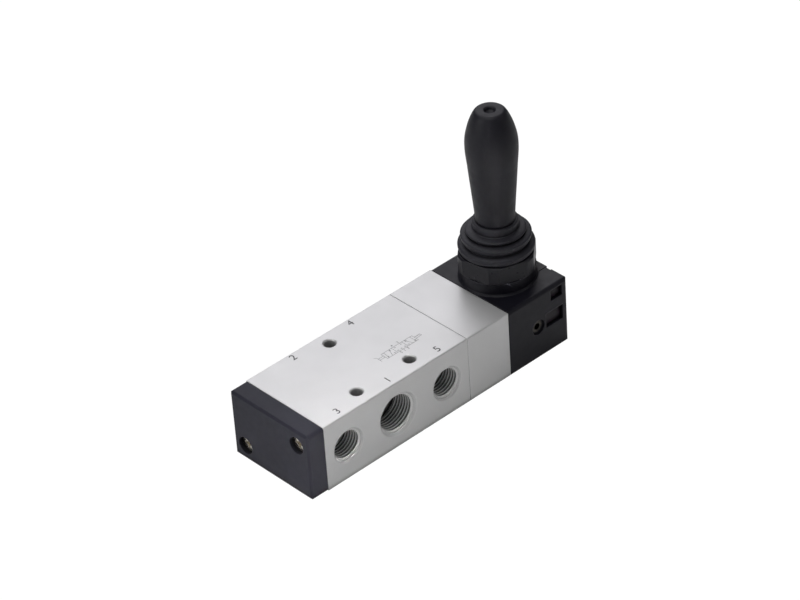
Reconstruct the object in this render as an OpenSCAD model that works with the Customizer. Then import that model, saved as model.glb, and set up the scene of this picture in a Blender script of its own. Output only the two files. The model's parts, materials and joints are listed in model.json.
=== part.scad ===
// Hand lever air valve: five ports, three positions, closed in the middle.
// Millimetres. +Z is up and z = 0 is the mounting face.
// The origin is under the centre of the row of blocks. The lever is at +X, ports 1, 3 and 5 face -Y.

/* [Row of blocks] */
// width of every block, along Y
body_w = 42; // [37.5:0.5:47]
// height of every block, along Z
body_h = 28.8; // [25.8:0.1:32]
// thickness of the end cap
cap_l = 8; // [7.5:0.1:10]
// length of the valve body
body_l = 72; // [71:0.1:80]
// length of the detent block
block_l = 21.3; // [20.5:0.1:26]
// length of the lever housing
housing_l = 31.1; // [31:0.1:35]
// rounding of the long edges of the metal blocks
edge_r = 0.5; // [0.3:0.1:2]
// rounding of the end cap's long edges
cap_edge_r = 1.4; // [0.5:0.1:2]
// rounding of the housing's upper and rear edges
housing_edge_r = 1.4; // [0.6:0.1:2]
// bevel round the end cap's outer face
cap_bevel = 0.9; // [0.3:0.1:1.2]
// fine bevel at the seams between the metal blocks
seam_bevel = 0.2; // [0.1:0.05:0.4]

/* [Ports] */
// distance between neighbouring ports on the -Y face
port_pitch = 24.8; // [24.5:0.1:27]
// half the distance between the two ports on the +Y face
out_port_half = 14.3; // [13.5:0.1:15]
// thread radius of ports 1, 2 and 4 (G3/8)
port_r = 8.331; // [8.331]
// thread radius of ports 3 and 5 (G1/4)
exhaust_r = 6.579; // [6.579]
// depth of the threads
port_depth = 11.6; // [9:0.1:11.8]
// bevel at the mouth of ports 1, 2 and 4
port_bevel = 0.92; // [0.4:0.02:1]
// bevel at the mouth of ports 3 and 5
exhaust_bevel = 0.67; // [0.4:0.01:1]

/* [Mounting holes] */
// radius of the holes through the body
mount_r = 2.3; // [2:0.05:2.4]
// half the distance between the two holes on the -Y side
mount_half = 13.2; // [12.9:0.05:13.4]
// distance of those two holes from the middle plane
mount_near = 14; // [13:0.1:15]
// distance of the single hole on the +Y side from the middle plane
mount_far = 14.9; // [14:0.1:16]
// bevel at the mouth of each hole
mount_bevel = 0.45; // [0.2:0.05:0.6]

/* [Spool] */
// radius of the spool's bore
bore_r = 7; // [6.5:0.1:7.2]
// radius of the ring-shaped chambers in the bore
chamber_r = 8.6; // [8.2:0.1:8.8]
// width of the chambers
chamber_w = 5.2; // [5:0.1:5.6]
// radius of the lands that hold the seals
land_r = 6.6; // [6:0.05:6.7]
// radius of the spool between its lands
waist_r = 4.2; // [3.8:0.1:5]
// width of a spool seal
seal_w = 1.2; // [1:0.1:1.4]
// width of a wear ring
wear_w = 1.8; // [1.5:0.1:2]
// radius of the rod on the lever side of the spool
rod_r = 4.5; // [4.2:0.1:4.8]
// radius of the detent balls
ball_r = 1.75; // [1.5:0.05:1.8]
// number of detent balls
ball_count = 4; // [3:1:4]
// depth of the detent grooves
groove_depth = 0.6; // [0.4:0.05:0.7]

/* [Lever] */
// lever's line behind the joint between the housing and the detent block
lever_near = 15.4; // [15:0.05:16]
// swing of the lever to each side, in degrees
swing = 13; // [10:0.5:13]
// height of the fulcrum pin above the spool's line
fulcrum_lift = -0.5; // [-1:0.1:1]
// height of the drive pin above the fulcrum pin
arm = 12; // [11:0.1:12]
// radius of the fulcrum pin, a rolled tube
fulcrum_r = 2.5; // [2:0.05:2.6]
// radius of the hole through the fulcrum pin
fulcrum_hole_r = 1.4; // [1:0.05:1.6]
// radius of the drive pin
drive_r = 1.6; // [1.4:0.05:1.7]
// thickness of the lever's blade
blade_t = 4.9; // [4.4:0.1:5]
// half the width of the lever's blade
blade_half = 4; // [3.6:0.1:4]
// radius of the lever's rod
lever_r = 3.5; // [3.2:0.1:3.6]
// height of the grip itself
grip_h = 48; // [40:0.1:60]
// largest radius of the grip
grip_r = 10; // [9:0.05:11]
// radius of the hole in the grip's top
grip_hole_r = 1.9; // [1.5:0.1:2.2]
// depth of the hole in the grip's top
grip_hole_depth = 1.4; // [1:0.1:4]

/* [Neck] */
// radius of the round boss on the housing
boss_r = 14.7; // [14:0.1:14.8]
// height of the boss above the housing
boss_h = 5.2; // [4:0.1:6]
// radius of the threaded neck
neck_r = 12; // [11.8:0.1:12.2]
// height of the threaded neck
neck_h = 4.8; // [4:0.1:6]
// radius of the opening that the lever swings in
neck_hole_r = 10.5; // [10.2:0.1:10.8]
// distance across the flats of the nut
nut_flats = 28.6; // [28.4:0.1:31]
// radius that the nut's corners are turned down to
nut_corner_r = 15.5; // [15.2:0.05:16.5]
// height of the nut
nut_h = 7.5; // [7:0.1:9]
// turn of the nut's corners from +X, in degrees
nut_turn = -19; // [-30:0.1:30]
// radius of the round recess in the nut that holds the bellows
nut_recess_r = 13.9; // [13.6:0.05:14.1]

/* [Bellows] */
// height of the bellows above the neck
bellows_h = 15.6; // [14:0.1:18]
// radius of the bellows at its widest fold
bellows_r = 14.7; // [14:0.05:15]
// thickness of the bellows
skin = 1.5; // [1.3:0.1:1.8]

/* [Clearances] */
// pin in its hole, on the radius
pin_fit = 0.02; // [0.01:0.01:0.05]
// piece that turns or slides in its bore, on the radius
run_fit = 0.05; // [0.02:0.01:0.08]
// screw in its hole, on the radius
screw_fit = 0.1; // [0.05:0.05:0.3]
// free space beside flat faces that pass each other
side_fit = 0.15; // [0.1:0.05:0.3]

/* [Hidden] */
$fn = 96;

// the four stations along the row
total_l = cap_l + body_l + block_l + housing_l;
cap_x = -total_l / 2;
body_x = cap_x + cap_l;
block_x = body_x + body_l;
housing_x = block_x + block_l;
end_x = housing_x + housing_l;
lever_x = housing_x + lever_near;

// the spool's line and its travel
axis_z = body_h / 2;
travel = arm * tan(swing);
port_x = body_x + body_l / 2;
chamber_pitch = port_pitch / 2;
seal_margin = 0.2;
inner_seal = chamber_w / 2 + seal_w / 2 + seal_margin;
outer_seal = 2 * chamber_pitch + chamber_w / 2 + travel + seal_w / 2 + seal_margin + 0.2;
seal_xs = [
  -outer_seal,
  -chamber_pitch - inner_seal,
  -chamber_pitch + inner_seal,
  chamber_pitch - inner_seal,
  chamber_pitch + inner_seal,
  outer_seal
];
shoulder = 0.5;
rod_step = 0.3;
seal_in_r = 5.4;
wear_x = outer_seal + seal_w / 2 + 2 * shoulder + wear_w / 2;
spool_half = wear_x + wear_w / 2 + shoulder;
end_space = 0.3;
cap_recess = port_x - spool_half - travel - end_space;
block_recess = port_x + spool_half + travel + end_space;
gasket_t = 0.9;
gasket_in_r = 8.3;
gasket_out_r = 10.4;

// the detent in its block
detent_in = 12;
detent_x = block_x + detent_in;
cage_lead = 4.7;
cage_x = detent_x - cage_lead;
cage_r = 9;
ball_ring_r = rod_r + run_fit + ball_r;
ring_wire_r = 0.42;
ring_in_r = ball_ring_r + ball_r;

// screws
screw_r = 2;
head_r = 3.4;
head_t = 2.6;
slot_half = 1.9;
slot_w = 1;
slot_depth = 1.5;
cap_screw_side = 6.3;
cap_screw_top = 6.55;
cap_screw_y = body_w / 2 - cap_screw_side;
cap_screw_z = body_h / 2 - cap_screw_top;
counterbore_r = 3.6;
counterbore_depth = 4.2;
cap_screw_l = 8.5;
hole_spare = 0.5;

// inside the housing
floor_t = 2.3;
roof_t = 2;
side_wall = 2.7;
wall_in = body_w / 2 - side_wall;
channel_half = 6.3;
rib_t = 2.1;
rib_out = channel_half + rib_t;
tie_y = (wall_in + rib_out) / 2;
tie_room = 0.8;
tie_z = body_h / 2 - floor_t - head_r - tie_room;
tie_wall = 5.3;
tie_head_x = housing_x + tie_wall;
tie_bite = 5;
tie_end_x = block_x - tie_bite;
cover_t = 3;
cover_x = end_x - cover_t;
cover_low = floor_t;
cover_high = body_h - floor_t;
cover_dish = 1.4;
cover_frame = 3;
cover_fit = 0.1;
tongue_half = 10.65;
tongue_l = 4.9;
tongue_x = end_x - tongue_l;
tongue_t = 2;
tongue_gap = 0.25;
fulcrum_z = axis_z + fulcrum_lift;
low_window = [end_x - 11.75, end_x - 2.7, fulcrum_z - 2.5, fulcrum_z + 3.9];
high_window = [end_x - 8.95, end_x - 2.85, body_h - 6.45, body_h - 1.7];
hook_t = 2.2;
hook_out = body_w / 2 - 1.4;
hook_front = 0.5;
rear_edge_r = 0.4;
relief = 0.8;
relief_w = 2.4;
bush_t = 1.4;
pin_recess = 1;
pin_mouth_r = 3.2;

// lever and yoke
drive_z = fulcrum_z + arm;
blade_eye_r = 4.6;
blade_over = 1;
blade_top = body_h + boss_h + blade_over;
slot_play = 0.06;
slot_reach = arm / cos(swing) - arm;
cheek_t = 3;
cheek_in = blade_t / 2 + side_fit;
cheek_out = cheek_in + cheek_t;
yoke_room = 0.7;
yoke_x = housing_x + travel + yoke_room;
hub_t = 3.4;
hub_x = yoke_x + hub_t;
beam_h = 5;
stub_r = 3;
eye_r = 2.6;
yoke_nose = 7;
yoke_slope = 4.4;
yoke_under = 0.9;
yoke_top = body_h - roof_t - yoke_under;
swing_room = 9;
boss_foot = 0.6;
boss_top = body_h + boss_h;
nut_z = boss_top;
nut_chamfer = 0.6;
neck_top = boss_top + neck_h;
grip_z = neck_top + bellows_h;
rod_gap = 2.4;
rod_low = drive_z + drive_r + rod_gap;
insert_r = 5;
insert_l = 0.34 * grip_h;
stem_r = 3;
stem_top = grip_z + 0.46 * grip_h;
stem_room = 1.5;
wire = [
  // radius as a share of the largest, height as a share of the grip's
  [0.75, 0], [0.772, 0.073], [0.827, 0.216], [0.886, 0.363], [0.943, 0.509], [0.994, 0.63],
  [1, 0.705], [0.981, 0.757], [0.943, 0.801], [0.85, 0.873], [0.735, 0.935], [0.65, 0.97],
  [0.583, 0.989], [0.51, 0.998], [0.43, 1]
];

// crests and grooves of the bellows, in shares of its largest radius and of its height
folds = [
  [0.93, 0], [0.93, 0.19], [0.978, 0.205], [1, 0.305], [0.82, 0.4], [0.917, 0.602], [0.71, 0.655],
  [0.79, 0.735], [0.585, 0.79], [0.597, 0.93]
];
// the inside follows the folds, in by the skin and down by this share of it
skin_down = 0.55;
// the collar's rim, its bore and the cone under it, in shares of the bellows' height
rim = 0.025;
bore_low = 0.84;
cone_low = 0.75;
bead_in = 0.7;

// a smooth line through the points p, with n steps between neighbours
function smooth(p, n) = concat(
  [for (i = [0:len(p) - 2], k = [0:n - 1]) between(p[max(i - 1, 0)], p[i], p[i + 1], p[min(i + 2, len(p) - 1)], k / n)],
  [p[len(p) - 1]]
);

function between(a, b, c, d, t) =
  (2 * b + (c - a) * t + (2 * a - 5 * b + 4 * c - d) * pow(t, 2) + (3 * b - a - 3 * c + d) * pow(t, 3)) / 2;

// full round folds with narrow grooves between them: each point lies between a crest and a groove
function fold_line(p, n) = concat(
  [for (i = [0:len(p) - 2], k = [0:n - 1]) roll(p[i], p[i + 1], k / n)],
  [p[len(p) - 1]]
);

function roll(a, b, t) = [
  a[0] > b[0] ? b[0] + (a[0] - b[0]) * full(t) : a[0] + (b[0] - a[0]) * full(1 - t),
  a[1] + (b[1] - a[1]) * t
];

function full(t) = pow(1 - pow(t, 2.2), 0.75);

// helpers: bars and cylinders along each axis
module rounded(w, h, top_r, low_r) {
  union() {
    translate([-w / 2 + top_r, h / 2]) square([w - 2 * top_r, h / 2]);
    translate([-w / 2 + low_r, 0]) square([w - 2 * low_r, h / 2]);
    translate([-w / 2, low_r]) square([w, h - low_r - top_r]);
    for (s = [-1, 1]) {
      translate([s * (w / 2 - low_r), low_r]) circle(low_r);
      translate([s * (w / 2 - top_r), h - top_r]) circle(top_r);
    }
  }
}

module bar_x(x0, x1, top_r, low_r) {
  translate([x0, 0, 0]) rotate([90, 0, 90]) linear_extrude(x1 - x0) rounded(body_w, body_h, top_r, low_r);
}

module bevelled(x0, x1, y0, y1, b0, b1) {
  polygon([
    [x0, y0 + b0], [x0 + b0, y0], [x1 - b1, y0], [x1, y0 + b1],
    [x1, y1 - b1], [x1 - b1, y1], [x0 + b0, y1], [x0, y1 - b0]
  ]);
}

// a metal block between x0 and x1 with long edges rounded by r and bevels b0 and b1 round its ends
module metal_block(x0, x1, r, b0, b1) {
  intersection() {
    bar_x(x0, x1, r, r);
    translate([0, 0, -1]) linear_extrude(body_h + 2) bevelled(x0, x1, -body_w / 2, body_w / 2, b0, b1);
    translate([0, body_w / 2 + 1, 0]) rotate([90, 0, 0]) linear_extrude(body_w + 2)
      bevelled(x0, x1, 0, body_h, b0, b1);
  }
}

module box(x0, x1, y0, y1, z0, z1) {
  translate([x0, y0, z0]) cube([x1 - x0, y1 - y0, z1 - z0]);
}

module cyl_x(x0, x1, y, z, r) {
  translate([x0, y, z]) rotate([0, 90, 0]) cylinder(h = x1 - x0, r = r);
}

module cyl_y(y0, y1, x, z, r) {
  translate([x, y1, z]) rotate([90, 0, 0]) cylinder(h = y1 - y0, r = r);
}

module cyl_z(z0, z1, x, y, r) {
  translate([x, y, z0]) cylinder(h = z1 - z0, r = r);
}

// ring round the spool's line, from x0 to x1
module ring_x(x0, x1, r_in, r_out) {
  difference() {
    cyl_x(x0, x1, 0, axis_z, r_out);
    cyl_x(x0 - 1, x1 + 1, 0, axis_z, r_in);
  }
}

// a threaded port that opens on the side given by +1 or -1
module port(x, side, r, bevel, passage_r) {
  half = body_w / 2;
  translate([x, 0, axis_z]) rotate([side * -90, 0, 0]) union() {
    translate([0, 0, half - port_depth]) cylinder(h = port_depth + 1, r = r);
    translate([0, 0, half - bevel]) cylinder(h = bevel + 0.01, r1 = r, r2 = r + bevel + 0.01);
    translate([0, 0, chamber_r - 0.5]) cylinder(h = half - chamber_r, r = passage_r);
  }
}

// a mounting hole with a bevel at both mouths
module mount_hole(x, y) {
  cyl_z(-1, body_h + 1, x, y, mount_r);
  translate([x, y, body_h - mount_bevel])
    cylinder(h = mount_bevel + 0.01, r1 = mount_r, r2 = mount_r + mount_bevel + 0.01);
  translate([x, y, -0.01])
    cylinder(h = mount_bevel + 0.01, r1 = mount_r + mount_bevel + 0.01, r2 = mount_r);
}

// a screw along X with its head's seat at the given x, pointing towards +1 or -1
module screw_x(seat_x, y, z, way, length) {
  tip = seat_x + way * length;
  head = seat_x - way * head_t;
  low = min(head, head + way * slot_depth);
  union() {
    cyl_x(min(seat_x, tip), max(seat_x, tip), y, z, screw_r);
    difference() {
      cyl_x(min(seat_x, head), max(seat_x, head), y, z, head_r);
      box(low, low + slot_depth, y - slot_w / 2, y + slot_w / 2, z - slot_half, z + slot_half);
      box(low, low + slot_depth, y - slot_half, y + slot_half, z - slot_w / 2, z + slot_w / 2);
    }
  }
}

module end_cap() {
  color("#3a3e46")
    difference() {
      metal_block(cap_x, body_x, cap_edge_r, cap_bevel, seam_bevel);
      for (s = [-1, 1]) {
        cyl_x(cap_x - 1, body_x + 1, s * cap_screw_y, axis_z - s * cap_screw_z, screw_r + screw_fit);
        cyl_x(cap_x - 1, cap_x + counterbore_depth, s * cap_screw_y, axis_z - s * cap_screw_z, counterbore_r);
      }
      cyl_x(cap_recess, body_x + 1, 0, axis_z, bore_r + 0.2);
      ring_x(body_x - gasket_t, body_x + 1, gasket_in_r, gasket_out_r);
    }
}

module cap_gasket() {
  color("#1d1d1f") ring_x(body_x - gasket_t, body_x, gasket_in_r, gasket_out_r);
}

module end_cap_screws() {
  color("#b9a36c")
    for (s = [-1, 1])
      screw_x(cap_x + counterbore_depth, s * cap_screw_y, axis_z - s * cap_screw_z, 1, cap_screw_l);
}

module valve_body() {
  color("#c9cacb")
    difference() {
      metal_block(body_x, block_x, edge_r, seam_bevel, seam_bevel);
      cyl_x(body_x - 1, block_x + 1, 0, axis_z, bore_r);
      for (k = [-2:2])
        cyl_x(
          port_x + k * chamber_pitch - chamber_w / 2,
          port_x + k * chamber_pitch + chamber_w / 2,
          0, axis_z, chamber_r
        );
      port(port_x, -1, port_r, port_bevel, chamber_w / 2 - 0.1);
      for (s = [-1, 1]) {
        port(port_x + s * port_pitch, -1, exhaust_r, exhaust_bevel, chamber_w / 2 - 0.1);
        port(port_x + s * out_port_half, 1, port_r, port_bevel, chamber_w / 2 - 0.1);
        mount_hole(port_x + s * mount_half, -mount_near);
        cyl_x(
          body_x - 1, cap_x + counterbore_depth + cap_screw_l + hole_spare,
          s * cap_screw_y, axis_z - s * cap_screw_z, screw_r + pin_fit
        );
        cyl_x(tie_end_x - hole_spare, block_x + 1, s * tie_y, axis_z - s * tie_z, screw_r + pin_fit);
      }
      mount_hole(port_x, mount_far);
    }
}

module block_gasket() {
  color("#1d1d1f") ring_x(block_x, block_x + gasket_t, gasket_in_r, gasket_out_r);
}

module detent_block() {
  color("#c4c5c6")
    difference() {
      metal_block(block_x, housing_x, edge_r, seam_bevel, seam_bevel);
      cyl_x(block_x - 1, block_recess, 0, axis_z, bore_r + 0.2);
      cyl_x(block_x, housing_x, 0, axis_z, rod_r + 0.3);
      cyl_x(cage_x, housing_x + 1, 0, axis_z, cage_r);
      ring_x(block_x - 1, block_x + gasket_t, gasket_in_r, gasket_out_r);
      for (s = [-1, 1])
        cyl_x(block_x - 1, housing_x + 1, s * tie_y, axis_z - s * tie_z, screw_r + screw_fit);
    }
}

module detent_cage() {
  color("#d8d4c6")
    difference() {
      cyl_x(cage_x, housing_x, 0, axis_z, cage_r - pin_fit);
      cyl_x(cage_x - 1, housing_x + 1, 0, axis_z, rod_r + run_fit);
      ring_x(detent_x - 1.3, detent_x + 1.3, ring_in_r - 0.05, cage_r + 1);
      translate([detent_x, 0, axis_z])
        for (k = [0:ball_count - 1])
          rotate([45 + k * 360 / ball_count, 0, 0]) cylinder(h = cage_r + 1, r = ball_r + pin_fit);
    }
}

module detent_balls() {
  color("#d0d2d6")
    translate([detent_x, 0, axis_z])
      for (k = [0:ball_count - 1])
        rotate([45 + k * 360 / ball_count, 0, 0]) translate([0, 0, ball_ring_r]) sphere(ball_r);
}

module detent_ring() {
  color("#9a9ca0")
    translate([detent_x, 0, axis_z]) rotate([0, 90, 0])
      rotate_extrude() translate([ring_in_r + ring_wire_r, 0]) circle(ring_wire_r);
}

// the housing's outside, with its boss and neck
module housing_shell() {
  union() {
    intersection() {
      bar_x(housing_x, end_x, housing_edge_r, edge_r);
      translate([end_x - body_l, -body_w / 2, -1]) linear_extrude(body_h + 2)
        rounded(2 * body_l, body_w, housing_edge_r, housing_edge_r);
      translate([end_x - body_l, body_w / 2 + 1, 0]) rotate([90, 0, 0]) linear_extrude(body_w + 2)
        rounded(2 * body_l, body_h, rear_edge_r, edge_r);
    }
    cyl_z(body_h - 1, boss_top, lever_x, 0, boss_r);
    translate([lever_x, 0, body_h]) cylinder(h = boss_foot, r1 = boss_r + boss_foot, r2 = boss_r);
    cyl_z(body_h, neck_top, lever_x, 0, neck_r);
  }
}

module window(w) {
  box(w[0], w[1], -body_w, body_w, w[2], w[3]);
}

module lever_housing() {
  color("#232427")
    difference() {
      housing_shell();
      // channel for the yoke and the lever's blade
      box(housing_x - 1, end_x + 1, -channel_half, channel_half, floor_t, body_h - roof_t);
      box(
        lever_x - yoke_nose - travel - side_fit, lever_x + swing_room,
        -channel_half, channel_half, floor_t, drive_z + eye_r + yoke_room
      );
      cyl_z(body_h - roof_t - 1, neck_top + 1, lever_x, 0, neck_hole_r);
      // pockets on both sides, open at the rear
      for (s = [-1, 1])
        box(
          tie_head_x, end_x + 1,
          min(s * wall_in, s * rib_out), max(s * wall_in, s * rib_out),
          floor_t, body_h - floor_t
        );
      // seat of the rear cover
      box(cover_x, end_x + 1, -wall_in, wall_in, cover_low, cover_high);
      box(tongue_x, end_x + 1, -tongue_half, tongue_half, cover_low, body_h + tongue_gap);
      // the rear top edge is bevelled beside the tongue
      for (s = [-1, 1])
        translate([0, s * (tongue_half + relief_w / 2) + relief_w / 2, 0])
          rotate([90, 0, 0]) linear_extrude(relief_w) polygon([
            [end_x - relief, body_h], [end_x - relief, body_h + 1],
            [end_x + 1, body_h + 1], [end_x + 1, body_h - relief - 1]
          ]);
      window(low_window);
      window(high_window);
      cyl_y(-body_w, body_w, lever_x, fulcrum_z, fulcrum_r + pin_fit);
      for (s = [-1, 1]) {
        cyl_y(
          min(s * body_w, s * (body_w / 2 - pin_recess)), max(s * body_w, s * (body_w / 2 - pin_recess)),
          lever_x, fulcrum_z, pin_mouth_r
        );
        cyl_x(housing_x - 1, tie_head_x + 1, s * tie_y, axis_z - s * tie_z, screw_r + screw_fit);
      }
    }
}

module rear_cover() {
  half = wall_in - cover_fit;
  color("#2a2b2f")
    difference() {
      union() {
        box(cover_x, end_x, -half, half, cover_low + cover_fit, cover_high - cover_fit);
        box(tongue_x + cover_fit, end_x, -tongue_half + tongue_gap, tongue_half - tongue_gap, cover_high - tongue_t, body_h);
        for (s = [-1, 1], w = [low_window, high_window]) hook(s, w);
      }
      box(
        cover_x - 4, cover_x + cover_dish, -channel_half, channel_half,
        cover_low + cover_frame, cover_high - cover_frame
      );
    }
}

// a spring arm behind the side wall, with a barb that stands in its window
module hook(s, w) {
  inner = wall_in - hook_t;
  outer = wall_in - cover_fit;
  x = w[0] + hook_front;
  low = w[2] + cover_fit;
  high = w[3] - cover_fit;
  union() {
    box(x, cover_x + cover_fit, min(s * inner, s * outer), max(s * inner, s * outer), low, high);
    box(x, w[1] - cover_fit, min(s * inner, s * hook_out), max(s * inner, s * hook_out), low, high);
  }
}

module housing_screws() {
  color("#b8babd")
    for (s = [-1, 1])
      screw_x(tie_head_x, s * tie_y, axis_z - s * tie_z, -1, tie_head_x - tie_end_x);
}

module fulcrum_pin() {
  color("#8d7a66")
    difference() {
      cyl_y(-body_w / 2 + pin_recess, body_w / 2 - pin_recess, lever_x, fulcrum_z, fulcrum_r);
      cyl_y(-body_w, body_w, lever_x, fulcrum_z, fulcrum_hole_r);
    }
}

module spacer_bushes() {
  color("#d8d4c6")
    for (s = [-1, 1])
      difference() {
        cyl_y(
          min(s * cheek_in, s * (channel_half - 0.05)), max(s * cheek_in, s * (channel_half - 0.05)),
          lever_x, fulcrum_z, fulcrum_r + bush_t
        );
        cyl_y(-body_w, body_w, lever_x, fulcrum_z, fulcrum_r + pin_fit);
      }
}

module hex_nut() {
  color("#26272a")
    difference() {
      intersection() {
        translate([lever_x, 0, nut_z]) rotate(nut_turn) cylinder(h = nut_h, r = nut_flats / sqrt(3), $fn = 6);
        union() {
          cyl_z(nut_z + nut_chamfer, nut_z + nut_h - nut_chamfer, lever_x, 0, nut_corner_r);
          translate([lever_x, 0, nut_z + nut_h - nut_chamfer])
            cylinder(h = nut_chamfer, r1 = nut_corner_r, r2 = nut_corner_r - nut_chamfer);
          translate([lever_x, 0, nut_z])
            cylinder(h = nut_chamfer, r1 = nut_corner_r - nut_chamfer, r2 = nut_corner_r);
        }
      }
      cyl_z(nut_z - 1, nut_z + nut_h + 1, lever_x, 0, neck_r + run_fit);
      cyl_z(neck_top, nut_z + nut_h + 1, lever_x, 0, nut_recess_r);
    }
}

// half section of the bellows: the folds from the bead up to the collar, then down inside the skin
module bellows() {
  line = [for (p = fold_line(folds, 6)) [p[0] * bellows_r, p[1] * bellows_h]];
  inside = [for (p = smooth(folds, 3)) [p[0] * bellows_r - skin, p[1] * bellows_h - skin_down * skin]];
  low = [for (p = inside) if (p[1] > skin && p[1] < cone_low * bellows_h) p];
  collar = line[len(line) - 1][0];
  bore = lever_r + run_fit;
  edge = rim * bellows_h;
  color("#1f2022")
    translate([lever_x, 0, neck_top]) rotate_extrude() polygon(concat(
      line,
      [[collar - edge / 3, bellows_h - edge], [collar - 1.5 * edge, bellows_h]],
      [[bore, bellows_h], [bore, bore_low * bellows_h]],
      [for (i = [len(low) - 1:-1:0]) low[i]],
      [[neck_hole_r + bead_in, 0]]
    ));
}

module lever_rod() {
  color("#b4b6b8")
    difference() {
      union() {
        cyl_y(-blade_t / 2, blade_t / 2, lever_x, fulcrum_z, blade_eye_r);
        box(lever_x - blade_half, lever_x + blade_half, -blade_t / 2, blade_t / 2, fulcrum_z, blade_top);
        cyl_z(rod_low, grip_z, lever_x, 0, lever_r);
        cyl_z(grip_z, stem_top, lever_x, 0, stem_r);
      }
      cyl_y(-blade_t, blade_t, lever_x, fulcrum_z, fulcrum_r + run_fit);
      // slot for the drive pin, long enough for the lever's swing
      cyl_y(-blade_t, blade_t, lever_x, drive_z - slot_play, drive_r + slot_play);
      cyl_y(-blade_t, blade_t, lever_x, drive_z + slot_reach + slot_play, drive_r + slot_play);
      box(
        lever_x - drive_r - slot_play, lever_x + drive_r + slot_play,
        -blade_t, blade_t, drive_z - slot_play, drive_z + slot_reach + slot_play
      );
    }
}

module grip_insert() {
  color("#c2a45a")
    difference() {
      cyl_z(grip_z, grip_z + insert_l, lever_x, 0, insert_r);
      cyl_z(grip_z - 1, grip_z + insert_l + 1, lever_x, 0, stem_r + pin_fit);
    }
}

module grip() {
  color("#2b2c2e")
    difference() {
      translate([lever_x, 0, grip_z]) rotate_extrude()
        polygon(concat([[0, 0]], [for (p = smooth(wire, 3)) [p[0] * grip_r, p[1] * grip_h]], [[0, grip_h]]));
      cyl_z(grip_z - 1, stem_top + stem_room, lever_x, 0, stem_r + pin_fit);
      cyl_z(grip_z - 1, grip_z + insert_l, lever_x, 0, insert_r);
      cyl_z(grip_z + grip_h - grip_hole_depth, grip_z + grip_h + 1, lever_x, 0, grip_hole_r);
    }
}

// the spool, its rod and the stub that the yoke screws on
module spool() {
  color("#d6d7d9")
    difference() {
      union() {
        cyl_x(port_x - spool_half, port_x + spool_half, 0, axis_z, waist_r);
        for (x = seal_xs)
          cyl_x(port_x + x - seal_w / 2 - shoulder, port_x + x + seal_w / 2 + shoulder, 0, axis_z, land_r);
        for (s = [-1, 1])
          cyl_x(
            port_x + min(s * (outer_seal - shoulder), s * spool_half),
            port_x + max(s * (outer_seal - shoulder), s * spool_half), 0, axis_z, land_r
          );
        cyl_x(port_x, yoke_x, 0, axis_z, rod_r - rod_step);
        cyl_x(port_x + spool_half, yoke_x, 0, axis_z, rod_r);
        cyl_x(yoke_x, hub_x, 0, axis_z, stub_r);
      }
      for (x = seal_xs) ring_x(port_x + x - seal_w / 2, port_x + x + seal_w / 2, seal_in_r, land_r + 1);
      for (s = [-1, 1])
        ring_x(port_x + s * wear_x - wear_w / 2, port_x + s * wear_x + wear_w / 2, seal_in_r, land_r + 1);
      // three detent grooves, one travel apart
      for (k = [-1:1])
        translate([detent_x + k * travel, 0, axis_z]) rotate([0, 90, 0]) rotate_extrude()
          polygon([[rod_r - groove_depth, 0], [rod_r + 0.5, -1.3], [rod_r + 0.5, 1.3]]);
    }
}

module spool_seals() {
  color("#151516")
    for (x = seal_xs)
      ring_x(port_x + x - seal_w / 2, port_x + x + seal_w / 2, seal_in_r, bore_r - run_fit);
}

module wear_rings() {
  color("#e6e3da")
    for (s = [-1, 1])
      ring_x(port_x + s * wear_x - wear_w / 2, port_x + s * wear_x + wear_w / 2, seal_in_r, bore_r - run_fit);
}

module drive_yoke() {
  low = axis_z - rod_r;
  color("#a9abae")
    difference() {
      union() {
        box(yoke_x, hub_x, -cheek_out, cheek_out, low, yoke_top);
        translate([0, cheek_out, 0]) rotate([90, 0, 0]) linear_extrude(2 * cheek_out) polygon([
          [yoke_x, yoke_top - beam_h], [yoke_x, yoke_top], [lever_x - yoke_nose, yoke_top],
          [lever_x - yoke_slope, drive_z + eye_r], [lever_x, drive_z + eye_r], [lever_x, drive_z - eye_r],
          [hub_x + 1, drive_z - eye_r], [hub_x, yoke_top - beam_h]
        ]);
        cyl_y(-cheek_out, cheek_out, lever_x, drive_z, eye_r);
      }
      // the gap that the lever's blade stands in
      box(hub_x, lever_x + yoke_nose, -cheek_in, cheek_in, 0, drive_z + 2 * eye_r);
      cyl_y(-body_w, body_w, lever_x, drive_z, drive_r + pin_fit);
      cyl_x(yoke_x - 1, hub_x + 1, 0, axis_z, stub_r + pin_fit);
    }
}

module drive_pin() {
  color("#8f9296") cyl_y(-cheek_out, cheek_out, lever_x, drive_z, drive_r);
}

end_cap();
cap_gasket();
end_cap_screws();
valve_body();
block_gasket();
detent_block();
detent_cage();
detent_balls();
detent_ring();
lever_housing();
rear_cover();
housing_screws();
fulcrum_pin();
spacer_bushes();
hex_nut();
bellows();
lever_rod();
grip_insert();
grip();
spool();
spool_seals();
wear_rings();
drive_yoke();
drive_pin();
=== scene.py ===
import json
import math

import bpy
from mathutils import Matrix, Vector


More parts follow.
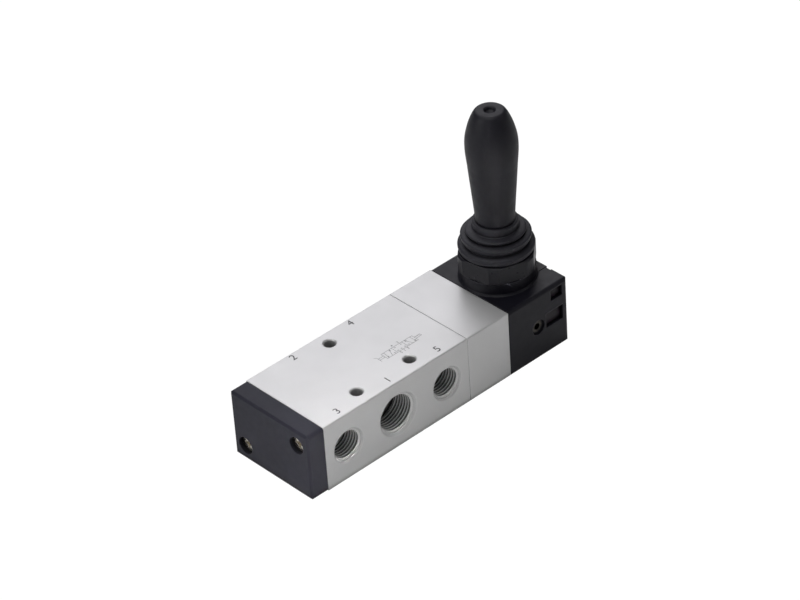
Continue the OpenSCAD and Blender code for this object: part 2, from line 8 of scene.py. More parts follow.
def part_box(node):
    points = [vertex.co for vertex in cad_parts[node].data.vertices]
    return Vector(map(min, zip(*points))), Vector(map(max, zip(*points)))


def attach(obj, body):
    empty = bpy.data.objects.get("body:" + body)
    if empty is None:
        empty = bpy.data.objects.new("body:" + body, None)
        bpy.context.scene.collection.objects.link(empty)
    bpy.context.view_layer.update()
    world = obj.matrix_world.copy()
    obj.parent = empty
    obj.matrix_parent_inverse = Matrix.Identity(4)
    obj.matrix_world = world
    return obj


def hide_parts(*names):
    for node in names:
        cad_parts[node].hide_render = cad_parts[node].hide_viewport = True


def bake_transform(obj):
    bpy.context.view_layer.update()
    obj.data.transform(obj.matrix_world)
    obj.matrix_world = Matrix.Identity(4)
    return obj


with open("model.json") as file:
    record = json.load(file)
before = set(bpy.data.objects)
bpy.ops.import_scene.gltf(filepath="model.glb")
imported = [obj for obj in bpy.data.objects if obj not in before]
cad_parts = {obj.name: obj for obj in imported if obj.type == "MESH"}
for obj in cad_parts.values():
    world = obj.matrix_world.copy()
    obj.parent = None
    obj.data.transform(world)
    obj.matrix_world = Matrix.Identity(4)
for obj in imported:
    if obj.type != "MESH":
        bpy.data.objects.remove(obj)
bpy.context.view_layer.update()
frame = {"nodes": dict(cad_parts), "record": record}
nodes = frame["nodes"]
record = frame["record"]
mounts = {m["name"]: m for m in record["mounts"]}
MM = 0.001

# ---------------------------------------------------------------- shader helpers
# part of a noise texture's range over which a value or a colour runs
NOISE_LOW, NOISE_HIGH = 0.3, 0.7

# painted edge highlight: dot product of rounded and flat normal where it starts and where it is
# full
HIGHLIGHT_START, HIGHLIGHT_FULL = 0.99, 0.86
# least share of the painted edge highlight that the grain lets through
HIGHLIGHT_LEAST = 0.75

# painted shade in recesses: range of the occlusion value over which a recess goes from black to
# its own colour
SHADE_RANGE = 0.55
PAINTED_SHADE_COLOUR = (0.001, 0.001, 0.001, 1)

# detail of the noise that shapes each thing, and the roughness of the grain's own noise
DRIFT_DETAIL, GRAIN_DETAIL, SHEEN_DETAIL, SCRATCH_DETAIL = 3.0, 3.0, 4.0, 2.0
PLAIN_ROUGH, GRAIN_ROUGH, SCRATCH_ROUGH = 0.55, 0.6, 0.5
# the sheen's patches are this many times finer than the colour's
SHEEN_FINER = 5
SCRATCH_SCALE = 260.0
SCRATCH_STRETCH = (1, 24, 24)

BEVEL_SAMPLES = 6
OCCLUSION_SAMPLES = 8


def feed(tree, socket, value):
    """Links an output to the socket, or sets the socket to a plain value."""
    if isinstance(value, bpy.types.NodeSocket):
        tree.links.new(value, socket)
    else:
        socket.default_value = value


def compute(tree, operation, *values):
    n = tree.nodes.new("ShaderNodeMath")
    n.operation = operation
    for socket, value in zip(n.inputs, values):
        feed(tree, socket, value)
    return n.outputs["Value"]


def mix_colour(tree, factor, a, b):
    n = tree.nodes.new("ShaderNodeMix")
    n.data_type = "RGBA"
    for name, value in (("Factor", factor), ("A", a), ("B", b)):
        feed(tree, n.inputs[name], value)
    return n.outputs["Result"]


def ramp_pair(tree, fac, a, b):
    n = tree.nodes.new("ShaderNodeValToRGB")
    stops = zip(n.color_ramp.elements, (NOISE_LOW, NOISE_HIGH), (a, b))
    for element, position, colour in stops:
        element.position = position
        element.color = (*colour, 1)
    tree.links.new(fac, n.inputs["Fac"])
    return n.outputs["Color"]


def remap(tree, value, lo, hi, start=NOISE_LOW, end=NOISE_HIGH):
    """lo where the value is at start, hi where it is at end, and even between."""
    n = tree.nodes.new("ShaderNodeMapRange")
    n.inputs["From Min"].default_value = start
    n.inputs["From Max"].default_value = end
    n.inputs["To Min"].default_value = lo
    n.inputs["To Max"].default_value = hi
    tree.links.new(value, n.inputs["Value"])
    return n.outputs["Result"]


def noise(tree, coords, scale, detail, rough=PLAIN_ROUGH, stretch=None):
    if stretch:
        mapping = tree.nodes.new("ShaderNodeMapping")
        mapping.inputs["Scale"].default_value = stretch
        tree.links.new(coords, mapping.inputs["Vector"])
        coords = mapping.outputs["Vector"]
    n = tree.nodes.new("ShaderNodeTexNoise")
    n.inputs["Scale"].default_value = scale
    n.inputs["Detail"].default_value = detail
    n.inputs["Roughness"].default_value = rough
    tree.links.new(coords, n.inputs["Vector"])
    return n.outputs["Fac"]


# ---------------------------------------------------------------- materials
def material(name, dark, light, rough, metallic=0.0, grain=900.0, bump=0.1,
             depth=0.03 * MM, patch=60.0, edge=0.0, specular=0.5, edge_highlight=None,
             scratch=0.0, shade_reach=0.0, unshaded_at=0.8):
    """
    A surface whose shade and roughness drift slowly, with a fine grain in its bump.

    dark, light, rough: ends of the drift in colour and in roughness.
    grain, bump, depth: scale, strength and height of the grain.
    patch: scale of the drift.
    edge: radius that edges are shaded with; edge_highlight: colour of a painted highlight on
    the edges, needs edge.
    scratch: share of long scratches in the bump.
    shade_reach: reach of the painted shade that darkens recesses; unshaded_at: occlusion
    value that counts as fully open, free of painted shade.
    """
    m = bpy.data.materials.new(name)
    m.use_nodes = True
    t = m.node_tree
    p = t.nodes["Principled BSDF"]
    co = t.nodes.new("ShaderNodeTexCoord").outputs["Object"]
    slow = noise(t, co, patch, DRIFT_DETAIL)
    fine = noise(t, co, grain, GRAIN_DETAIL, GRAIN_ROUGH)
    colour = ramp_pair(t, slow, dark, light)
    if edge:
        rounded = t.nodes.new("ShaderNodeBevel")
        rounded.samples = BEVEL_SAMPLES
        rounded.inputs["Radius"].default_value = edge
    if edge_highlight:
        # painted highlight: lighter where an edge turns, broken up by the grain
        geometry = t.nodes.new("ShaderNodeNewGeometry")
        turn = t.nodes.new("ShaderNodeVectorMath")
        turn.operation = "DOT_PRODUCT"
        t.links.new(rounded.outputs["Normal"], turn.inputs[0])
        t.links.new(geometry.outputs["True Normal"], turn.inputs[1])
        on_edge = remap(t, turn.outputs["Value"], 0.0, 1.0, HIGHLIGHT_START, HIGHLIGHT_FULL)
        highlighted = compute(t, "MULTIPLY", on_edge, remap(t, fine, HIGHLIGHT_LEAST, 1.0))
        colour = mix_colour(t, highlighted, colour, (*edge_highlight, 1))
    p.inputs["Specular IOR Level"].default_value = specular
    if shade_reach:
        # painted shade: narrow recesses are darkened towards black and lose their shine
        occlusion = t.nodes.new("ShaderNodeAmbientOcclusion")
        occlusion.samples = OCCLUSION_SAMPLES
        occlusion.inputs["Distance"].default_value = shade_reach
        openness = occlusion.outputs["AO"]
        ends = (unshaded_at - SHADE_RANGE, unshaded_at)
        unshaded_share = remap(t, openness, 0.0, 1.0, *ends)
        colour = mix_colour(t, unshaded_share, PAINTED_SHADE_COLOUR, colour)
        shaded_specular = remap(t, openness, 0.0, specular, *ends)
        t.links.new(shaded_specular, p.inputs["Specular IOR Level"])
    t.links.new(colour, p.inputs["Base Color"])
    sheen = noise(t, co, patch * SHEEN_FINER, SHEEN_DETAIL)
    t.links.new(remap(t, sheen, *rough), p.inputs["Roughness"])
    p.inputs["Metallic"].default_value = metallic
    height = fine
    if scratch:
        lines = noise(t, co, SCRATCH_SCALE, SCRATCH_DETAIL, SCRATCH_ROUGH, SCRATCH_STRETCH)
        height = compute(t, "MULTIPLY_ADD", lines, scratch, fine)
    relief = t.nodes.new("ShaderNodeBump")
    relief.inputs["Strength"].default_value = bump
    relief.inputs["Distance"].default_value = depth
    t.links.new(height, relief.inputs["Height"])
    if edge:
        t.links.new(rounded.outputs["Normal"], relief.inputs["Normal"])
    t.links.new(relief.outputs["Normal"], p.inputs["Normal"])
    return m


# the recess reaches below paint shade into holes, counterbores, window recesses and bellows
# grooves
MAT = {
    "body_aluminium": material(
        "satin_aluminium", (0.72, 0.72, 0.72), (0.755, 0.755, 0.755), (0.42, 0.48),
        metallic=0.6, grain=5200, bump=0.22, depth=0.02 * MM, patch=45, edge=0.5 * MM,
        scratch=0.4, edge_highlight=(1.0, 1.0, 1.0), shade_reach=4.2 * MM),
    # painted shade darkens the thread's grooves almost everywhere but at the crests
    "thread_aluminium": material(
        "cut_aluminium", (0.95, 0.945, 0.94), (0.98, 0.98, 0.975), (0.30, 0.38),
        metallic=0.2, grain=3000, bump=0.05, depth=0.01 * MM, patch=300,
        shade_reach=1.0 * MM, unshaded_at=0.97),
    "cap_grey": material(
        "charcoal_paint", (0.025, 0.025, 0.037), (0.031, 0.031, 0.046), (0.42, 0.52),
        grain=3600, bump=0.3, depth=0.02 * MM, patch=70, edge=0.5 * MM, specular=0.2,
        edge_highlight=(0.055, 0.055, 0.07), shade_reach=6 * MM),
    "black_plastic": material(
        "housing_plastic", (0.007, 0.0066, 0.011), (0.010, 0.0096, 0.016), (0.36, 0.46),
        grain=2600, bump=0.3, depth=0.02 * MM, patch=80, edge=0.7 * MM, specular=0.26,
        edge_highlight=(0.055, 0.054, 0.066), shade_reach=2.2 * MM),
    "cover_plastic": material(
        "cover_plastic", (0.010, 0.0066, 0.011), (0.015, 0.0096, 0.016), (0.34, 0.44),
        grain=2600, bump=0.3, depth=0.02 * MM, patch=80, edge=0.2 * MM, specular=0.3,
        shade_reach=9 * MM),
    "nut_plastic": material(
        "nut_plastic", (0.012, 0.0115, 0.016), (0.017, 0.0165, 0.022), (0.26, 0.36),
        grain=2200, bump=0.2, depth=0.02 * MM, patch=90, edge=0.35 * MM, specular=0.26,
        edge_highlight=(0.05, 0.05, 0.056)),
    "bellows_rubber": material(
        "bellows_rubber", (0.021, 0.0205, 0.027), (0.031, 0.0305, 0.040), (0.46, 0.58),
        grain=3000, bump=0.35, depth=0.02 * MM, patch=150, specular=0.35,
        shade_reach=2.5 * MM),
    "seal_rubber": material(
        "seal_rubber", (0.012, 0.012, 0.012), (0.02, 0.02, 0.02), (0.5, 0.6),
        grain=3000, bump=0.2, patch=150),
    "grip_plastic": material(
        "grip_plastic", (0.011, 0.0105, 0.0155), (0.015, 0.0145, 0.021), (0.42, 0.52),
        grain=4200, bump=0.3, depth=0.02 * MM, patch=70, specular=0.3),
    "steel": material(
        "turned_steel", (0.46, 0.46, 0.47), (0.58, 0.58, 0.59), (0.22, 0.34),
        metallic=1.0, grain=1800, depth=0.01 * MM, patch=120, edge=0.15 * MM),
    "pin_steel": material(
        "browned_steel", (0.06, 0.057, 0.05), (0.11, 0.104, 0.092), (0.3, 0.42),
        metallic=1.0, grain=1500, bump=0.15, depth=0.02 * MM, patch=400, edge=0.2 * MM),
    "yellow_zinc": material(
        "yellow_zinc", (0.78, 0.73, 0.62), (0.90, 0.86, 0.76), (0.18, 0.26),
        metallic=1.0, grain=1500, depth=0.02 * MM, patch=140, edge=0.2 * MM),
    "ptfe": material(
        "ptfe", (0.66, 0.64, 0.58), (0.74, 0.72, 0.66), (0.4, 0.5), patch=150),
    "brass": material(
        "turned_brass", (0.55, 0.38, 0.14), (0.66, 0.48, 0.2), (0.25, 0.35),
        metallic=1.0, patch=200),
    "spool_aluminium": material(
        "turned_aluminium", (0.58, 0.58, 0.59), (0.66, 0.66, 0.66), (0.2, 0.3),
        metallic=1.0, patch=200),
    "ink": material(
        "black_ink", (0.022, 0.022, 0.024), (0.040, 0.040, 0.043), (0.5, 0.6),
        grain=2500, patch=900),
    "pale_ink": material(
        "grey_ink", (0.10, 0.10, 0.105), (0.17, 0.17, 0.175), (0.5, 0.6),
        grain=2500, patch=900),
}

# the rear cover has its own finish, though it shares the housing's material slot
own_finish = {"rear_cover": "cover_plastic"}
slots = {s["node"]: s["material_slot"] for s in record["subparts"]}
for name, obj in nodes.items():
    obj.data.materials.clear()
    obj.data.materials.append(MAT[own_finish.get(name, slots[name])])


# ---------------------------------------------------------------- mesh helpers
LATHE_SEGMENTS = 160


def add_object(name, data):
    o = bpy.data.objects.new(name, data)
    bpy.context.scene.collection.objects.link(o)
    return o


def piece(name, verts, faces, mat, body, smooth=True):
    """A mesh piece. Without a body it rides nothing."""
    me = bpy.data.meshes.new(name)
    me.from_pydata(verts, [], faces)
    me.validate()
    me.update()
    me.polygons.foreach_set("use_smooth", [smooth] * len(me.polygons))
    me.materials.append(MAT[mat])
    o = add_object(name, me)
    if body:
        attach(o, body)
    return o


def spline(points, steps):
    """Catmull-Rom through the points, with the given steps between neighbours."""
    out = []
    last = len(points) - 1
    for i in range(last):
        p0 = points[max(i - 1, 0)]
        p1, p2 = points[i], points[i + 1]
        p3 = points[min(i + 2, last)]
        for k in range(steps):
            t = k / steps
            out.append(tuple(
                0.5 * (2 * b + (c - a) * t + (2 * a - 5 * b + 4 * c - d) * t * t
                       + (3 * b - a - 3 * c + d) * t ** 3)
                for a, b, c, d in zip(p0, p1, p2, p3)
            ))
    return out + [tuple(points[-1])]


def lathe(name, profile, centre, mat, body, closed=False):
    """Turns (radius, height) points in metres about the vertical line through centre."""
    verts, faces = [], []
    n = len(profile)
    for r, z in profile:
        for k in range(LATHE_SEGMENTS):
            a = 2 * math.pi * k / LATHE_SEGMENTS
            verts.append((centre[0] + r * math.cos(a), centre[1] + r * math.sin(a), z))
    for i in range(n if closed else n - 1):
        row, above = i * LATHE_SEGMENTS, (i + 1) % n * LATHE_SEGMENTS
        for k in range(LATHE_SEGMENTS):
            q = (k + 1) % LATHE_SEGMENTS
            faces.append((row + k, row + q, above + q, above + k))
    return piece(name, verts, faces, mat, body)


# ---------------------------------------------------------------- the lever's centre line
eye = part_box("fulcrum_pin")
lever_x = (eye[0].x + eye[1].x) / 2
centre = (lever_x, 0.0)

# ---------------------------------------------------------------- grip
# side of the grip, as shares of its radius and height
GRIP_SIDE = [
    (0.75, 0), (0.772, 0.073), (0.827, 0.216), (0.886, 0.363), (0.943, 0.509),
    (0.994, 0.63), (1.0, 0.705), (0.981, 0.757), (0.943, 0.801), (0.85, 0.873),
    (0.735, 0.935), (0.65, 0.97), (0.583, 0.989), (0.51, 0.998), (0.43, 0.9998),
]
GRIP_STEPS = 8
# radius and depth under the top, in mm, from the flat into the dimple and down its wall
GRIP_DIMPLE = [
    (3.2, 0), (2.6, 0.02), (2.3, 0.1), (2.1, 0.3), (1.9, 0.6), (1.9, 1.0),
    (1.71, 1.302), (0, 1.4),
]
GRIP_BORE = 3.5 * MM
# outer corner of the foot, as shares of the radius, and its height
FOOT_IN, FOOT_OUT, FOOT_RISE = 0.72, 0.742, 0.1 * MM
# groove of the mould line: place as a share of the height, depth and spread
SEAM_AT, SEAM_DEPTH, SEAM_SPREAD = 0.507, 0.06 * MM, 0.22 * MM

lo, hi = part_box("grip")
grip_r = (hi.y - lo.y) / 2
grip_h = hi.z - lo.z
seam = lo.z + SEAM_AT * grip_h
side_line = [(r * grip_r, lo.z + h * grip_h) for r, h in spline(GRIP_SIDE, GRIP_STEPS)]
side_line = [(r - SEAM_DEPTH * math.exp(-((z - seam) / SEAM_SPREAD) ** 2), z)
             for r, z in side_line]
dimple = [(r * MM, hi.z - d * MM) for r, d in GRIP_DIMPLE]
foot = [(GRIP_BORE, lo.z), (grip_r * FOOT_IN, lo.z), (grip_r * FOOT_OUT, lo.z + FOOT_RISE)]
grip = lathe("grip_handle", foot + side_line[1:] + dimple, centre,
             "grip_plastic", "lever")
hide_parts("grip")

# ---------------------------------------------------------------- bellows
# crests and grooves of the folds, as shares of the bellows' radius and height
FOLDS = [
    (0.93, 0), (0.93, 0.19), (0.978, 0.205), (1.0, 0.305), (0.82, 0.4), (0.917, 0.602),
    (0.71, 0.655), (0.79, 0.735), (0.585, 0.79), (0.597, 0.93),
]
OUTER_STEPS, INNER_STEPS = 12, 5
# how full the folds are: powers of the curve between a crest and a groove
FOLD_SPAN, FOLD_FULL = 2.2, 0.75
# rounded top rim of the collar: steps inwards and down from its corner, in mm
COLLAR_RIM = [(0, 0.5), (0.12, 0.22), (0.4, 0.05), (0.9, 0)]
COLLAR_HOLE = 3.6 * MM
FOOT_HOLE = 11.2 * MM
SKIN = 1.5 * MM
# the inside follows the folds up to one share of the height, and the collar's hole
# begins at the next
INSIDE_TOP, HOLE_FROM = 0.75, 0.84
# how far the inside lies under the outside, as a share of the skin
INSIDE_DROP = 0.55


def fold_line(points, steps):
    """Full round folds with narrow grooves: each stretch runs between a crest and a groove."""
    out = []
    for (r0, h0), (r1, h1) in zip(points, points[1:]):
        for k in range(steps):
            t = k / steps
            if r0 > r1:
                r = r1 + (r0 - r1) * (1 - t ** FOLD_SPAN) ** FOLD_FULL
            else:
                r = r0 + (r1 - r0) * (1 - (1 - t) ** FOLD_SPAN) ** FOLD_FULL
            out.append((r, h0 + (h1 - h0) * t))
    return out + [points[-1]]


lo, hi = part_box("bellows")
base, top = lo.z, hi.z
boot_r, boot_h = (hi.y - lo.y) / 2, top - base
outer = [(r * boot_r, base + h * boot_h) for r, h in fold_line(FOLDS, OUTER_STEPS)]
collar = outer[-1][0]
outer += [(collar - i * MM, top - d * MM) for i, d in COLLAR_RIM]
inner = [(r * boot_r - SKIN, base + h * boot_h - INSIDE_DROP * SKIN)
         for r, h in spline(FOLDS, INNER_STEPS)]
inner = [p for p in inner if base + SKIN < p[1] < base + INSIDE_TOP * boot_h]
inner = [(COLLAR_HOLE, top), (COLLAR_HOLE, base + HOLE_FROM * boot_h)] + inner[::-1]
inner.append((FOOT_HOLE, base))
bellows = lathe("bellows_boot", outer + inner, centre,
                "bellows_rubber", None, closed=True)
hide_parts("bellows")
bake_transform(bellows)

# ---------------------------------------------------------------- threads in the ports
THREAD_PITCH = 1.337 * MM
# depth of the last turn under the face
THREAD_END = 11.2 * MM
TURN_STEPS = 96
# height of the thread over one pitch, from root to crest and back
TOOTH = (0.0, 0.10, 0.42, 0.80, 0.97, 1.0, 0.97, 0.80, 0.42, 0.10)
# the thread stands clear of the port's wall and of the bevel at its mouth
WALL_GAP, BEVEL_GAP = 0.02 * MM, 0.05 * MM
# length over which the thread rises at the mouth and runs out, in pitches
RUN_IN, RUN_OUT = 0.35, 0.5
# ports, radius at the thread's crests and depth of the bevel at the mouth
THREADS = [((1, 2, 4), 7.475 * MM, 0.92 * MM), ((3, 5), 5.723 * MM, 0.67 * MM)]


def thread(name, mount, crest_r, bevel):
    """A right-hand pipe thread as one wound sheet on the port's wall, from the bevel at
    the mouth inwards."""
    root_r = mount["dims"]["r_mm"] * MM - WALL_GAP
    side = 1 if mount["axis"][1] > 0 else -1
    y_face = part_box("valve_body")[1].y * side
    x0, _, z0 = mount["pos_m"]
    start = bevel + BEVEL_GAP
    steps = int(TURN_STEPS * ((THREAD_END - start) / THREAD_PITCH + 1))
    count = len(TOOTH)
    verts, faces = [], []
    for i in range(steps + 1):
        a = side * 2 * math.pi * i / TURN_STEPS
        for j in range(count + 1):
            d = start + THREAD_PITCH * (i / TURN_STEPS + j / count - 1)
            d = min(max(d, start), THREAD_END)
            fade = min(1.0, (d - start) / (THREAD_PITCH * RUN_IN),
                       (THREAD_END - d) / (THREAD_PITCH * RUN_OUT))
            r = root_r - (root_r - crest_r) * TOOTH[j % count] * fade
            verts.append((x0 + r * math.cos(a), y_face - side * d, z0 + r * math.sin(a)))
    row = count + 1
    for i in range(steps):
        for j in range(count):
            k = i * row + j
            faces.append((k, k + 1, k + row + 1, k + row))
    return piece(name, verts, faces, "thread_aluminium", "valve")


for ports, crest_r, bevel in THREADS:
    for n in ports:
        thread(f"thread_{n}", mounts[f"port_{n}"], crest_r, bevel)

# ---------------------------------------------------------------- marks on the top face
top_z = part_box("valve_body")[1].z
port_x = mounts["port_1"]["pos_m"][0]
# height of the printed figures and strokes over the face, and half the figures' thickness
FIGURE_LIFT, STROKE_LIFT, FIGURE_THICK = 0.012 * MM, 0.014 * MM, 0.008 * MM
NUMBER_SIZE, SYMBOL_NUMBER_SIZE = 4.7 * MM, 1.6 * MM
FIGURE_CURVE_STEPS = 6
NEAR_Y, FAR_Y = -17.24 * MM, 18.3 * MM
# port, shift along the row from the port's middle in mm, and line of the number
NUMBERS = [(3, -1.07, NEAR_Y), (1, -0.79, NEAR_Y), (5, -0.58, NEAR_Y),
           (2, -0.7, FAR_Y), (4, -0.61, FAR_Y)]


def mark(name, text, x, y, size, mat="ink"):
    """Printed figures as a mesh, centred on a point of the top face."""
    c = bpy.data.curves.new(name, "FONT")
    c.body = text
    c.align_x = "CENTER"
    c.align_y = "CENTER"
    c.size = size
    c.extrude = FIGURE_THICK
    c.resolution_u = FIGURE_CURVE_STEPS
    o = add_object(name, c)
    o.location = (x, y, top_z + FIGURE_LIFT)
    bpy.context.view_layer.update()
    dg = bpy.context.evaluated_depsgraph_get()
    me = bpy.data.meshes.new_from_object(o.evaluated_get(dg))
    mo = add_object(name, me)
    mo.matrix_world = o.matrix_world.copy()
    bpy.data.objects.remove(o)
    me.materials.clear()
    me.materials.append(MAT[mat])
    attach(mo, "valve")


for n, dx, y in NUMBERS:
    mark(f"number_{n}", str(n), mounts[f"port_{n}"]["pos_m"][0] + dx * MM, y, NUMBER_SIZE)


def strokes(name, lines, width, mat):
    """Thin flat strokes on the top face. lines holds pairs of points in millimetres."""
    verts, faces = [], []
    for (x0, y0), (x1, y1) in lines:
        along = Vector((x1 - x0, y1 - y0)).normalized() * width / 2
        across = Vector((-along.y, along.x))
        k = len(verts)
        for sx, sy in ((-1, -1), (1, -1), (1, 1), (-1, 1)):
            px = (x0 if sx < 0 else x1) + along.x * sx + across.x * sy
            py = (y0 if sx < 0 else y1) + along.y * sx + across.y * sy
            verts.append((px * MM, py * MM, top_z + STROKE_LIFT))
        faces.append((k, k + 1, k + 2, k + 3))
    return piece(name, verts, faces, mat, "valve", smooth=False)


# ---------------------------------------------------------------- symbol on the top face
# the standard symbol of a five-port, three-position valve that is closed in the middle,
# with a lever at the left and a detent at the right; all in mm
SYMBOL_SHIFT, SYMBOL_Y = 15.78, -6.1
BOX_W, BOX_H = 5.2, 3.6
LINE_WIDTH = 0.13
# the two ports on top and the three below, from the middle of a box
UPPER_X, LOWER_X = 1.5, 1.7
MIDDLE_STUB, OUTER_STUB, BAR_HALF = 0.9, 0.8, 0.35
# arrows: upper end from the middle of a box, and how far each end keeps off its frame
FLOW_X, TAIL_GAP, TIP_GAP = 1.4, 0.1, 0.15
HEAD_LONG, HEAD_HALF = 0.8, 0.35
HEAD_BAR_AT, HEAD_BAR_HALF = 0.45, 0.18
SIDE_HALF = 0.5
LEVER_LONG, LEVER_HALF, LEVER_TIP = 2.6, 1.5, (0.9, 0.4)
DETENT_LONG, NOTCH_FROM, NOTCH_PITCH = 2.8, 0.5, 0.75
NOTCHES, NOTCH_HALF, NOTCH_LOW = 3, 0.2, 0.15
NUMBER_OFF = 2.75

sx, sy = port_x / MM + SYMBOL_SHIFT, SYMBOL_Y
left, right = sx - 1.5 * BOX_W, sx + 1.5 * BOX_W
low, high = sy - BOX_H / 2, sy + BOX_H / 2
lines = [((sx + i * BOX_W, low), (sx + i * BOX_W, high)) for i in (-1.5, -0.5, 0.5, 1.5)]
lines += [((left, y), (right, y)) for y in (low, high)]


def closed_port(x, y, stub):
    """A stub from the box's edge with a bar across its end."""
    end = y + stub
    lines.append(((x, y), (x, end)))
    lines.append(((x - BAR_HALF, end), (x + BAR_HALF, end)))


def arrow(a, b):
    d = (Vector(b) - Vector(a)).normalized()
    n = Vector((-d.y, d.x))
    tip = Vector(b)
    back, bar = tip - d * HEAD_LONG, tip - d * HEAD_BAR_AT
    lines.append((a, b))
    lines.append((tuple(tip), tuple(back + n * HEAD_HALF)))
    lines.append((tuple(tip), tuple(back - n * HEAD_HALF)))
    lines.append((tuple(bar + n * HEAD_BAR_HALF), tuple(bar - n * HEAD_BAR_HALF)))


for x in (-UPPER_X, UPPER_X):
    closed_port(sx + x, high, -MIDDLE_STUB)
for x in (-LOWER_X, 0, LOWER_X):
    closed_port(sx + x, low, MIDDLE_STUB)
for side in (-1, 1):
    cx = sx + side * BOX_W
    flow_x, vent_x = cx + side * FLOW_X, cx + side * LOWER_X
    arrow((cx, low + TAIL_GAP), (cx - side * FLOW_X, high - TIP_GAP))
    arrow((flow_x, high - TAIL_GAP), (vent_x, low + TIP_GAP))
    closed_port(cx - side * LOWER_X, low, OUTER_STUB)

lever_end = left - LEVER_LONG
lines += [((left, sy + s * SIDE_HALF), (lever_end, sy + s * SIDE_HALF)) for s in (-1, 1)]
lines += [
    ((lever_end, sy - LEVER_HALF), (lever_end, sy + LEVER_HALF)),
    ((lever_end, sy + LEVER_HALF),
     (lever_end - LEVER_TIP[0], sy + LEVER_HALF + LEVER_TIP[1])),
]

detent_low, detent_high = sy - SIDE_HALF, sy + SIDE_HALF
detent_end = right + DETENT_LONG
lines += [
    ((right, detent_low), (detent_end, detent_low)),
    ((detent_end, detent_low), (detent_end, detent_high)),
    ((right, detent_high), (right + NOTCH_FROM, detent_high)),
]
for k in range(NOTCHES):
    x = right + NOTCH_FROM + k * NOTCH_PITCH
    path = [(x, detent_high), (x + NOTCH_HALF, sy + NOTCH_LOW),
            (x + 2 * NOTCH_HALF, detent_high), (x + NOTCH_PITCH, detent_high)]
    lines += zip(path, path[1:])
strokes("valve_symbol", lines, LINE_WIDTH, "pale_ink")

SYMBOL_NUMBERS = [("4", -UPPER_X, NUMBER_OFF), ("2", UPPER_X, NUMBER_OFF),
                  ("5", -LOWER_X, -NUMBER_OFF), ("1", 0, -NUMBER_OFF),
                  ("3", LOWER_X, -NUMBER_OFF)]
for text, x, y in SYMBOL_NUMBERS:
    mark("symbol_" + text, text, (sx + x) * MM, (sy + y) * MM, SYMBOL_NUMBER_SIZE, "pale_ink")

# ---------------------------------------------------------------- floor
FLOOR_HALF = 4
FLOOR_DROP = 0.05 * MM
FLOOR_COLOUR = (0.9, 0.9, 0.9, 1)
FLOOR_GLOW = 1.04
# how much of the glow is seen straight on, and how much of that in reflections
GLOW_SEEN, GLOW_REFLECTED = 0.97, 0.07

floor_me = bpy.data.meshes.new("floor")
corners = [(x * FLOOR_HALF, y * FLOOR_HALF, 0) for x, y in ((-1, -1), (1, -1), (1, 1), (-1, 1))]
floor_me.from_pydata(corners, [], [(0, 1, 2, 3)])
floor = add_object("floor", floor_me)
floor.location = (0, 0, -FLOOR_DROP)

# plain white where it is looked at, a matt floor for all other light
floor_white = bpy.data.materials.new("floor_white")
floor_white.use_nodes = True
t = floor_white.node_tree
t.nodes.clear()
out = t.nodes.new("ShaderNodeOutputMaterial")
matt = t.nodes.new("ShaderNodeBsdfDiffuse")
matt.inputs["Color"].default_value = FLOOR_COLOUR
glow = t.nodes.new("ShaderNodeEmission")
glow.inputs["Color"].default_value = (1, 1, 1, 1)
glow.inputs["Strength"].default_value = FLOOR_GLOW
ray = t.nodes.new("ShaderNodeLightPath").outputs
reflected = compute(t, "MULTIPLY", ray["Is Glossy Ray"], GLOW_REFLECTED)
seen = compute(t, "MAXIMUM", ray["Is Camera Ray"], reflected)
seen = compute(t, "MAXIMUM", seen, ray["Is Transmission Ray"])
mix = t.nodes.new("ShaderNodeMixShader")
t.links.new(compute(t, "MULTIPLY", seen, GLOW_SEEN), mix.inputs["Fac"])
t.links.new(matt.outputs["BSDF"], mix.inputs[1])
t.links.new(glow.outputs["Emission"], mix.inputs[2])
t.links.new(mix.outputs["Shader"], out.inputs["Surface"])
floor_me.materials.append(floor_white)

# ---------------------------------------------------------------- light
WORLD_STRENGTH = 0.03
GRID_SPREAD = math.radians(13)

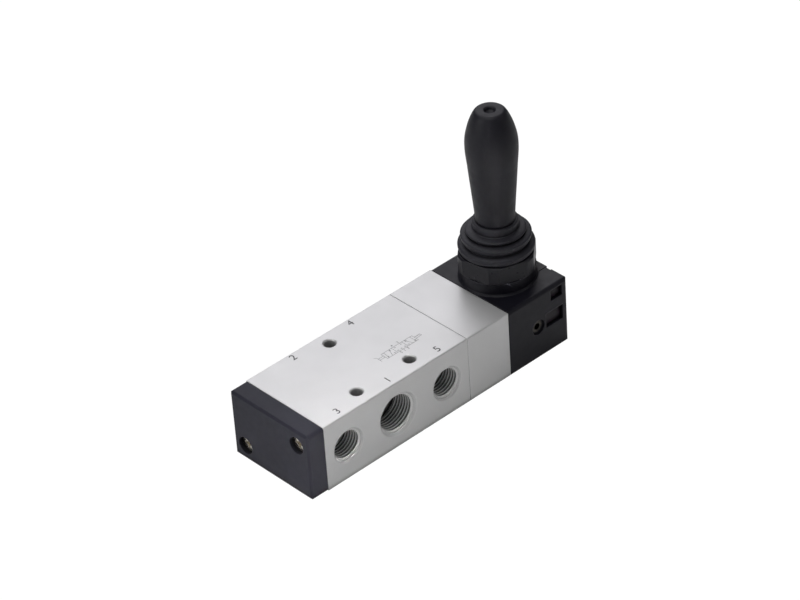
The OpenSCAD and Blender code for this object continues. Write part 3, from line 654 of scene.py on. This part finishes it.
world = bpy.data.worlds.new("studio")
bpy.context.scene.world = world
world.use_nodes = True
background = world.node_tree.nodes["Background"]
background.inputs["Color"].default_value = (1, 1, 1, 1)
background.inputs["Strength"].default_value = WORLD_STRENGTH


def lamp(name, place, aim, size, radiance, colour=(1, 1, 1)):
    """A square softbox at place that faces aim. Its power follows from its radiance."""
    d = bpy.data.lights.new(name, "AREA")
    d.shape = "SQUARE"
    d.size = size
    d.energy = radiance * math.pi * size * size
    d.color = colour
    o = add_object(name, d)
    o.location = place
    o.rotation_euler = (Vector(aim) - Vector(place)).to_track_quat("-Z", "Y").to_euler()
    return o


lamp("top_softbox", (-0.2, 0.25, 1.3), (0, 0, 0), 1.1, 1.15)
lamp("top_front", (-0.3, -0.33, 1.2), (0, 0, 0.05), 0.4, 3.6)
lamp("back_softbox", (0.75, 0.95, 0.95), (0.02, 0, 0.02), 1.3, 1.36, (1.0, 0.99, 1.03))
lamp("key_softbox", (-1.2, 0.38, 0.6), (0, 0, 0.02), 0.7, 2.3)
lamp("front_fill", (-0.36, -0.28, 0.26), (-0.06, -0.03, 0.0), 0.2, 1.0)
lamp("right_fill", (0.75, -0.8, 0.8), (0.03, 0, 0.04), 0.6, 0.8)
grid = lamp("floor_grid", (-0.15, -0.2, 1.0), (-0.09, -0.12, 0), 0.1, 4.5, (1.0, 0.985, 0.95))
grid.data.spread = GRID_SPREAD

# ---------------------------------------------------------------- camera
LENS_MM, SENSOR_MM = 157.72, 36
VIEW_END = 50

cam_data = bpy.data.cameras.new("camera")
cam_data.lens = LENS_MM
cam_data.sensor_width = SENSOR_MM
cam_data.clip_end = VIEW_END
cam = add_object("camera", cam_data)
cam_right = Vector((0.7243, -0.68712, -0.05709))
cam_up = Vector((0.43791, 0.39448, 0.80785))
cam_back = Vector((-0.53257, -0.61013, 0.58662))
cam_place = Vector((-0.68474, -0.78521, 0.79836))
cam_turn = Matrix((cam_right, cam_up, cam_back)).transposed().to_4x4()
cam.matrix_world = Matrix.Translation(cam_place) @ cam_turn
bpy.context.scene.camera = cam
bpy.context.scene.view_settings.view_transform = "Standard"
